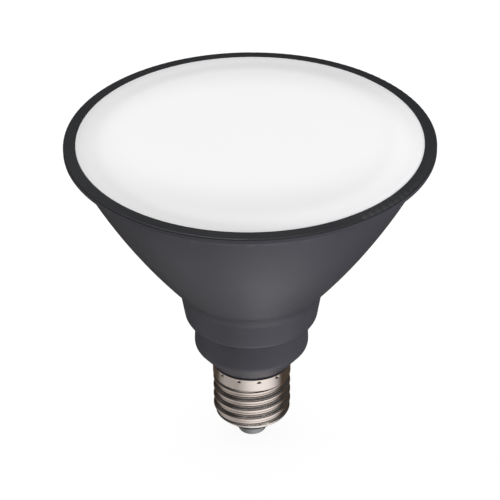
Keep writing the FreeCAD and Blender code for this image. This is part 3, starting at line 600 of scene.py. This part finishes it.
# %% The cap's sizes, from the frame
shell_low, shell_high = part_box("screw_shell")
collar = next(row for row in frame["record"]["mounts"] if row["name"] == "screw_cap")
cap_sizes = {
    "Around": 241,
    "Rows": 270,
    "Inner Rows": 90,
    "Lip Level": shell_low.z,
    "Top Level": shell_high.z,
    "Collar Radius": collar["dims"]["r_mm"] * MM,
    "Collar Height": collar["dims"]["length_mm"] * MM,
    "Crest Radius": 13.15 * MM,
    "Pitch": 3.629 * MM,
    "Thread Depth": 1.095 * MM,
    "Thread Arc": 1.025 * MM,
    "Front Crest": 16.2 * MM,
    "Nose Round": 4.6 * MM,
    "Nose Sweep": math.radians(65.0),
    "Lip Width": 0.9 * MM,
    "Wall": 0.3 * MM,
    "Soft": 0.45 * MM,
    "Crimp Angle": math.radians(-109.3),
    "Crimp Count": 12,
    "Crimp Radius": 0.75 * MM,
    "Crimp Depth": 0.35 * MM,
    "Crimp Drop": 0.7 * MM,
}
print("The collar measures", collar["dims"]["r_mm"], "mm in radius")


# %% Grid, angle and height
ROW_SLACK = 0.1


def cap_grid(tree, rows, rim_rows):
    """A grid with angle and height along the sheet; rim rows share their height."""
    size, step = tree.size, tree.math
    all_rows = step("ADD", size(rows), 2.0 * rim_rows)
    grid = tree.add(
        "MeshGrid",
        {"Size X": 1.0, "Size Y": 1.0, "Vertices X": size("Around"), "Vertices Y": all_rows},
    )
    spot = place(tree.group.nodes, "ShaderNodeSeparateXYZ")
    tree.feed(spot, {"Vector": tree.add("InputPosition").outputs["Position"]})
    angle = step("MULTIPLY", step("ADD", spot.outputs["X"], 0.5), 2 * math.pi)
    share = step("ADD", spot.outputs["Y"], 0.5)
    from_start = step("MULTIPLY", share, step("SUBTRACT", all_rows, 1.0))
    row = step("SUBTRACT", from_start, 1.0 * rim_rows)
    last = step("SUBTRACT", size(rows), 1.0)
    half_way = step("MULTIPLY", last, 0.5)
    inside = step("COMPARE", row, half_way, step("ADD", half_way, ROW_SLACK))
    share_up = step("MINIMUM", step("MAXIMUM", step("DIVIDE", row, last), 0.0), 1.0)
    foot = step("SUBTRACT", size("Lip Level"), size("Lip Width"))
    climb = step("SUBTRACT", size("Top Level"), foot)
    along = step("MULTIPLY_ADD", share_up, climb, foot)
    return grid.outputs["Mesh"], angle, along, inside


# %% Radius of the thread
def arc_rise(tree, radius, sideways):
    """How far an arc stands off its centre, some way to the side."""
    step = tree.math
    left = step("SUBTRACT", step("POWER", radius, 2.0), step("POWER", sideways, 2.0))
    return step("SQRT", step("MAXIMUM", left, 0.0))


def thread_radius(tree, angle, height):
    """Round thread made of tangent arcs, with its crest a known height at the front."""
    size, step = tree.size, tree.math
    from_front = step("ADD", angle, math.pi / 2)
    turns = step("DIVIDE", from_front, 2 * math.pi)
    above = step("SUBTRACT", height, size("Front Crest"))
    pitches = step("SUBTRACT", step("DIVIDE", above, size("Pitch")), turns)
    phase = step("WRAP", pitches, 0.5, -0.5)
    from_crest = step("MULTIPLY", step("ABSOLUTE", phase), size("Pitch"))
    half_pitch = step("MULTIPLY", size("Pitch"), 0.5)
    from_root = step("SUBTRACT", half_pitch, from_crest)
    crest_centre = step("SUBTRACT", size("Crest Radius"), size("Thread Arc"))
    root_radius = step("SUBTRACT", size("Crest Radius"), size("Thread Depth"))
    root_centre = step("ADD", root_radius, size("Thread Arc"))
    on_crest = step("ADD", crest_centre, arc_rise(tree, size("Thread Arc"), from_crest))
    on_root = step("SUBTRACT", root_centre, arc_rise(tree, size("Thread Arc"), from_root))
    near_crest = step("LESS_THAN", from_crest, from_root)
    gap = step("SUBTRACT", on_crest, on_root)
    return step("MULTIPLY_ADD", gap, near_crest, on_root)


# %% Radius of the nose, collar and crimps
def nose_radius(tree, height):
    """Rounded nose, which the thread runs out into."""
    size, step = tree.size, tree.math
    rise = step("MULTIPLY", size("Nose Round"), step("SINE", size("Nose Sweep")))
    level = step("ADD", size("Lip Level"), rise)
    below = step("MAXIMUM", step("SUBTRACT", level, height), 0.0)
    centre = step("SUBTRACT", size("Collar Radius"), size("Nose Round"))
    return step("ADD", centre, arc_rise(tree, size("Nose Round"), below))


def collar_form(tree, height):
    """Plain collar, with a slope below it."""
    size, step = tree.size, tree.math
    level = step("SUBTRACT", size("Top Level"), size("Collar Height"))
    below = step("MAXIMUM", step("SUBTRACT", level, height), 0.0)
    return step("SUBTRACT", size("Collar Radius"), below)


def crimp_dent(tree, angle, height):
    """Depth of the crimps that bite into the housing, spaced evenly round the collar."""
    size, step = tree.size, tree.math
    spacing = step("DIVIDE", 2 * math.pi, size("Crimp Count"))
    turned = step("SUBTRACT", angle, size("Crimp Angle"))
    nearest = step("WRAP", step("DIVIDE", turned, spacing), 0.5, -0.5)
    sideways = step("MULTIPLY", step("MULTIPLY", nearest, spacing), size("Collar Radius"))
    level = step("SUBTRACT", size("Top Level"), size("Crimp Drop"))
    upward = step("SUBTRACT", height, level)
    away = step("SQRT", step("ADD", step("POWER", sideways, 2.0), step("POWER", upward, 2.0)))
    nodes, link = tree.group.nodes, tree.group.links.new
    return ramp(nodes, link, away, size("Crimp Radius"), 0.0, 0.0, size("Crimp Depth"))


# %% The sheet and its wall
def sheet_side(tree, rows, rim_rows):
    """One side of the sheet: the outer, or with rim rows the inner, set in by the wall."""
    size, step = tree.size, tree.math
    mesh, angle, along, inside = cap_grid(tree, rows, rim_rows)
    height = step("MAXIMUM", along, size("Lip Level"))
    turned_in = step("SUBTRACT", height, along)
    thread = thread_radius(tree, angle, height)
    rolled = step("SMOOTH_MIN", thread, nose_radius(tree, height), size("Soft"))
    formed = step("SMOOTH_MAX", rolled, collar_form(tree, height), size("Soft"))
    capped = step("MINIMUM", formed, size("Collar Radius"))
    crimped = step("SUBTRACT", capped, crimp_dent(tree, angle, height))
    radius = step("SUBTRACT", crimped, turned_in)
    if rim_rows:
        on_lip = step("GREATER_THAN", turned_in, 0.0)
        across_wall = step("MULTIPLY", size("Wall"), inside)
        set_in = step("MULTIPLY", across_wall, step("SUBTRACT", 1.0, on_lip))
        radius = step("SUBTRACT", radius, set_in)
        height = step("ADD", height, step("MULTIPLY", across_wall, on_lip))
    across = step("MULTIPLY", radius, step("COSINE", angle))
    deep = step("MULTIPLY", radius, step("SINE", angle))
    spot = tree.vector(X=across, Y=deep, Z=height)
    bent = tree.add("SetPosition", {"Geometry": mesh, "Position": spot})
    return bent.outputs["Geometry"]


def make_cap():
    """Bend two grids into the cap's outside and inside, and join them into one sheet."""
    tree = Tree("Rolled screw cap", cap_sizes)
    outside = sheet_side(tree, "Rows", 0)
    inside = sheet_side(tree, "Inner Rows", 1)
    inside = tree.add("FlipFaces", {"Mesh": inside}).outputs["Mesh"]
    both = tree.add("JoinGeometry")
    tree.group.links.new(outside, both.inputs["Geometry"])
    tree.group.links.new(inside, both.inputs["Geometry"])
    closed = {"Geometry": both.outputs["Geometry"], "Distance": JOIN_DISTANCE}
    sheet = tree.add("MergeByDistance", closed).outputs["Geometry"]
    smooth = tree.add("SetShadeSmooth", {"Geometry": sheet}, domain="FACE")
    tree.finish(smooth.outputs["Geometry"], finishes["nickel_shell"])
    return tree.mesh_object("rolled_screw_cap")


LIP_ANGLE = math.radians(50)
cap = make_cap()
cap.data.set_sharp_from_angle(angle=LIP_ANGLE)
settle(cap, "nickel_shell", "screw_shell")
edge_uses = {}
for face in cap.data.polygons:
    for edge in face.edge_keys:
        edge_uses[edge] = edge_uses.get(edge, 0) + 1
open_edges = sum(1 for uses in edge_uses.values() if uses != 2)
print("The cap has", len(cap.data.polygons), "faces and", open_edges, "open edges")

# %% [markdown]
# ## Rings of LEDs
#
# Each LED is a small white package with a sunk window of yellow phosphor. One is
# built in the tree, and copies of it are set on the points of three circles. The
# copies turn with their place, so that their long sides stay along the ring.

# %% One LED
led_low, led_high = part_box("leds")
BOARD_EDGE = 5.2 * MM
RING_SHARES = (0.38, 0.666, 1.0)
RING_COUNTS = (8, 14, 22)
WINDOW_SHARE = 0.78
outer_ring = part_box("led_board")[1].x - BOARD_EDGE
led_sizes = {
    "Radius": outer_ring,
    "Count": RING_COUNTS[0],
    "Level": led_low.z,
    "Width": 2.8 * MM,
    "Length": 3.5 * MM,
    "Height": led_high.z - led_low.z,
    "Window Depth": 0.12 * MM,
}
print("The outer ring has a radius of", round(outer_ring / MM, 1), "mm")


def led_unit(tree):
    """A package whose top is sunk into a window, painted with phosphor."""
    size = tree.size
    extent = tree.vector(X=size("Width"), Y=size("Length"), Z=size("Height"))
    block = tree.add("MeshCube", {"Size": extent}).outputs["Mesh"]
    normal = place(tree.group.nodes, "ShaderNodeSeparateXYZ")
    tree.feed(normal, {"Vector": tree.add("InputNormal").outputs["Normal"]})
    is_top = tree.math("GREATER_THAN", normal.outputs["Z"], 0.5)
    rim = tree.add("ExtrudeMesh", {"Mesh": block, "Selection": is_top, "Offset Scale": 0.0})
    window = tree.add(
        "ScaleElements",
        {"Geometry": rim.outputs["Mesh"], "Selection": rim.outputs["Top"], "Scale": WINDOW_SHARE},
    )
    sink = tree.math("MULTIPLY", size("Window Depth"), -1.0)
    sunk = tree.add(
        "ExtrudeMesh",
        {"Mesh": window.outputs["Geometry"], "Selection": rim.outputs["Top"], "Offset Scale": sink},
    )
    white = tree.add("SetMaterial", {"Geometry": sunk.outputs["Mesh"]})
    white.inputs["Material"].default_value = finishes["led_package"]
    in_window = {"Geometry": white.outputs["Geometry"], "Selection": sunk.outputs["Top"]}
    glow = tree.add("SetMaterial", in_window)
    glow.inputs["Material"].default_value = finishes["phosphor"]
    return glow.outputs["Geometry"]


# %% Copies round a ring
def led_ring(name, radius, count):
    """Set the LEDs on a circle, half a step round from the X axis."""
    tree = Tree("Ring of LEDs", {**led_sizes, "Radius": radius, "Count": count})
    size, step = tree.size, tree.math
    lone = led_unit(tree)
    points = tree.add("Points", {"Count": size("Count")})
    number = tree.add("InputIndex").outputs["Index"]
    share = step("DIVIDE", step("ADD", number, 0.5), size("Count"))
    angle = step("MULTIPLY", share, 2 * math.pi)
    across = step("MULTIPLY", size("Radius"), step("COSINE", angle))
    deep = step("MULTIPLY", size("Radius"), step("SINE", angle))
    half_up = step("MULTIPLY_ADD", size("Height"), 0.5, size("Level"))
    spot = tree.vector(X=across, Y=deep, Z=half_up)
    placed = {"Geometry": points.outputs["Geometry"], "Position": spot}
    ring = tree.add("SetPosition", placed).outputs["Geometry"]
    rotation = tree.group.nodes.new("FunctionNodeEulerToRotation")
    tree.feed(rotation, {"Euler": tree.vector(Z=angle)})
    copies = tree.add(
        "InstanceOnPoints",
        {"Points": ring, "Instance": lone, "Rotation": rotation.outputs["Rotation"]},
    )
    tree.finish(copies.outputs["Instances"], None)
    return tree.mesh_object(name)


for number, (share, count) in enumerate(zip(RING_SHARES, RING_COUNTS), 1):
    ring = led_ring(f"led_ring_{number}", share * outer_ring, count)
    settle(ring, "led_package", "leds")
    print(ring.name, "holds", count, "LEDs")

# %% [markdown]
# ## Floor, light and background
#
# The lamp stands on a pale floor in plain soft light. The background should read
# as white paper, but more lamps would burn out the pale lens, so the floor and
# the world are simply white to the camera and to what mirrors them, and give
# their real, gentler light to everything else. The floor keeps a faint shadow.

# %% Floor
def seen_directly(nodes, link):
    """One for rays from the camera, from a mirror or through glass, else nothing."""
    path = place(nodes, "ShaderNodeLightPath").outputs
    seen = maths(nodes, link, "MAXIMUM", path["Is Camera Ray"], path["Is Glossy Ray"])
    return maths(nodes, link, "MAXIMUM", seen, path["Is Transmission Ray"])


FLOOR_HALF = 3.0
SHADOW_SHARE = 0.15
PAPER_GLOW = 1.09
PAPER_WHITE = (0.9, 0.9, 0.9, 1.0)

floor_mesh = bpy.data.meshes.new("floor")
corners = ((-1, -1), (1, -1), (1, 1), (-1, 1))
spots = [(x * FLOOR_HALF, y * FLOOR_HALF, cad_box[0].z) for x, y in corners]
floor_mesh.from_pydata(spots, [], [(0, 1, 2, 3)])
floor = bpy.data.objects.new("floor", floor_mesh)
bpy.context.scene.collection.objects.link(floor)

paper, paper_nodes, paper_link, paper_shader = new_material("paper")
paper_shader.inputs["Base Color"].default_value = PAPER_WHITE
paper_shader.inputs["Roughness"].default_value = 1.0
white = place(paper_nodes, "ShaderNodeEmission")
white.inputs["Strength"].default_value = PAPER_GLOW
seen = seen_directly(paper_nodes, paper_link)
share = maths(paper_nodes, paper_link, "MULTIPLY", seen, 1 - SHADOW_SHARE)
mix = place(paper_nodes, "ShaderNodeMixShader")
layers = {1: paper_shader.outputs["BSDF"], 2: white.outputs["Emission"]}
feed(paper_link, mix, {"Fac": share, **layers})
paper_link(mix.outputs["Shader"], paper_nodes["Material Output"].inputs["Surface"])
dress(floor, paper)
print("The floor lies at", floor_mesh.vertices[0].co.z, "m")

# %% World
WORLD_LIGHT = 0.55

world = bpy.data.worlds.new("studio")
world.use_nodes = True
bpy.context.scene.world = world
world_nodes = world.node_tree.nodes
world_link = world.node_tree.links.new
air = world_nodes["Background"]
air.inputs["Color"].default_value = (1.0, 1.0, 1.0, 1.0)
level = place(world_nodes, "ShaderNodeMapRange")
seen = seen_directly(world_nodes, world_link)
feed(world_link, level, {"Value": seen, "To Min": WORLD_LIGHT, "To Max": 1.0})
world_link(level.outputs["Result"], air.inputs["Strength"])
print("The world lights the lamp at", WORLD_LIGHT, "of white")


# %% Soft lights
def softbox(name, spot, aim, width, power, tint=(1.0, 1.0, 1.0), mirrored=True):
    """A square soft lamp at a spot, turned to a point."""
    data = bpy.data.lights.new(name, "AREA")
    data.shape = "SQUARE"
    data.size = width
    data.energy = power
    data.color = tint
    lamp = bpy.data.objects.new(name, data)
    lamp.location = spot
    lamp.rotation_euler = (Vector(aim) - Vector(spot)).to_track_quat("-Z", "Y").to_euler()
    lamp.visible_glossy = mirrored
    bpy.context.scene.collection.objects.link(lamp)


COOL_WHITE = (0.96, 0.95, 1.0)
middle = (0.0, 0.0, 0.06)
softbox("overhead", (0.0, 0.1, 1.6), middle, width=1.6, power=13.0)
from_right = {"width": 0.2, "power": 17.0, "tint": COOL_WHITE, "mirrored": False}
softbox("right_front", (1.15, -0.5, -0.03), middle, **from_right)
print("Three soft sources light the lamp: the world and two soft boxes")

# %% [markdown]
# ## Dark cards
#
# Bright metal has no colour of its own: it shows what stands round it. On a white
# sweep alone the cap would vanish into the white, so a photographer stands dark
# cards round it, out of the picture, and leaves them open where a bright streak
# should run. Here a mat lies on the floor and a wall stands round the lamp. Only
# mirrored rays see them. A soft mask leaves the mat open near the lamp's front
# and back, and half open on its left, and the wall has a paler window in front.

# %% Shape of the cards
CARD_RADIUS = 0.8
CARD_HEIGHT = 1.5
CARD_STEPS = 48
MAT_HOLE = 0.003
MAT_LIFT = 0.0002


def card_mesh(name, profile):
    """Turn a profile of (radius, height) points round the axis, without a pole."""
    work = bmesh.new()
    rings = []
    for radius, height in profile:
        ring = []
        level = cad_box[0].z + height
        for step in range(CARD_STEPS):
            angle = 2 * math.pi * step / CARD_STEPS
            spot = (radius * math.cos(angle), radius * math.sin(angle), level)
            ring.append(work.verts.new(spot))
        rings.append(ring)
    for low, high in zip(rings, rings[1:]):
        for step in range(CARD_STEPS):
            after = (step + 1) % CARD_STEPS
            work.faces.new((low[step], low[after], high[after], high[step]))
    mesh = bpy.data.meshes.new(name)
    work.to_mesh(mesh)
    work.free()
    return mesh


def card(name, profile, material):
    """A card that only mirrored rays see."""
    piece = bpy.data.objects.new(name, card_mesh(name, profile))
    bpy.context.scene.collection.objects.link(piece)
    dress(piece, material)
    piece.visible_camera = False
    piece.visible_diffuse = False
    piece.visible_transmission = False
    piece.visible_shadow = False


# %% Where a spot on a card lies
FRONT = math.radians(-90)
BACK = math.radians(90)


def vector_maths(nodes, link, operation, *values):
    """One step of arithmetic on vectors."""
    node = place(nodes, "ShaderNodeVectorMath", operation=operation)
    feed(link, node, dict(enumerate(values)))
    return node.outputs


def from_axis(nodes, link):
    """The flat vector from the axis to a spot."""
    where = place(nodes, "ShaderNodeTexCoord").outputs["Object"]
    return vector_maths(nodes, link, "MULTIPLY", where, (1.0, 1.0, 0.0))["Vector"]


def facing(nodes, link, flat, side):
    """Cosine between a flat vector and one side."""
    unit = vector_maths(nodes, link, "NORMALIZE", flat)["Vector"]
    way = (math.cos(side), math.sin(side), 0.0)
    return vector_maths(nodes, link, "DOT_PRODUCT", unit, way)["Value"]


def card_material(name):
    """A card's material: it, its nodes, its way to link, its glow and its cover."""
    material, nodes, link, shader = new_material(name)
    nodes.remove(shader)
    glow = place(nodes, "ShaderNodeEmission")
    clear = place(nodes, "ShaderNodeBsdfTransparent")
    mix = place(nodes, "ShaderNodeMixShader")
    link(clear.outputs["BSDF"], mix.inputs[1])
    link(glow.outputs["Emission"], mix.inputs[2])
    link(mix.outputs["Shader"], nodes["Material Output"].inputs["Surface"])
    return material, nodes, link, glow, mix.inputs["Fac"]


# %% The mat
# Each opening has a side, a spread in cosines from that side, and a reach in metres.
MAT_TONE = 0.07
MAT_TINT = (1.0, 0.8, 0.64, 1.0)
OPEN_SIDE = FRONT + math.radians(24)
OPEN_SPREAD = (0.4, 1.1)
OPEN_REACH = (0.05, 0.09)
FAR_COVER = 0.96
LEFT_SIDE = FRONT - math.radians(55)
LEFT_SPREAD = (0.55, 1.0)
LEFT_COVER = 0.66
BACK_SPREAD = (0.9, 0.99)
BACK_REACH = (0.09, 0.117)

mat_paint, nodes, link, mat_glow, mat_cover = card_material("dark_mat")
feed(link, mat_glow, {"Strength": MAT_TONE, "Color": MAT_TINT})
flat = from_axis(nodes, link)
reach = vector_maths(nodes, link, "LENGTH", flat)["Value"]
front_side = ramp(nodes, link, facing(nodes, link, flat, OPEN_SIDE), *OPEN_SPREAD, 1.0, 0.0)
left_side = ramp(nodes, link, facing(nodes, link, flat, LEFT_SIDE), *LEFT_SPREAD, 1.0, LEFT_COVER)
back_side = ramp(nodes, link, facing(nodes, link, flat, BACK), *BACK_SPREAD, 1.0, 0.0)
front_far = ramp(nodes, link, reach, *OPEN_REACH, 0.0, FAR_COVER)
back_far = ramp(nodes, link, reach, *BACK_REACH)
near_cover = maths(nodes, link, "MULTIPLY", front_side, left_side)
front_cover = maths(nodes, link, "MAXIMUM", near_cover, front_far)
back_cover = maths(nodes, link, "MAXIMUM", back_side, back_far)
link(maths(nodes, link, "MULTIPLY", front_cover, back_cover), mat_cover)

# %% The wall
# The window has a tone away from its side and one at it, and a soft foot and head.
WALL_TONE = 0.02
WINDOW_SIDE = FRONT + math.radians(15)
WINDOW_TONES = (0.06, 0.5)
WINDOW_FOOT = (0.3, 0.38)
WINDOW_HEAD = (0.62, 0.7)
ABOVE_WINDOW = 0.15

wall_paint, nodes, link, wall_glow, wall_cover = card_material("dark_wall")
wall_cover.default_value = 1.0
across = facing(nodes, link, from_axis(nodes, link), WINDOW_SIDE)
window_tone = ramp(nodes, link, across, 0.0, 1.0, *WINDOW_TONES)
split = place(nodes, "ShaderNodeSeparateXYZ")
link(place(nodes, "ShaderNodeTexCoord").outputs["Object"], split.inputs["Vector"])
above_foot = ramp(nodes, link, split.outputs["Z"], *WINDOW_FOOT)
below_head = ramp(nodes, link, split.outputs["Z"], *WINDOW_HEAD, 1.0, ABOVE_WINDOW)
in_window = maths(nodes, link, "MULTIPLY", above_foot, below_head)
wall_tone = place(nodes, "ShaderNodeMix", data_type="FLOAT")
feed(link, wall_tone, {"A": WALL_TONE, "B": window_tone, "Factor": in_window})
link(wall_tone.outputs["Result"], wall_glow.inputs["Strength"])

# %% The cards, in place
card("floor_mat", [(MAT_HOLE, MAT_LIFT), (CARD_RADIUS, MAT_LIFT)], mat_paint)
card("wall", [(CARD_RADIUS, MAT_LIFT), (CARD_RADIUS, CARD_HEIGHT)], wall_paint)
print("Two cards stand round the lamp, seen only in its reflections")

# %% View settings
bpy.context.scene.view_settings.view_transform = "Standard"
print("View transform:", bpy.context.scene.view_settings.view_transform)
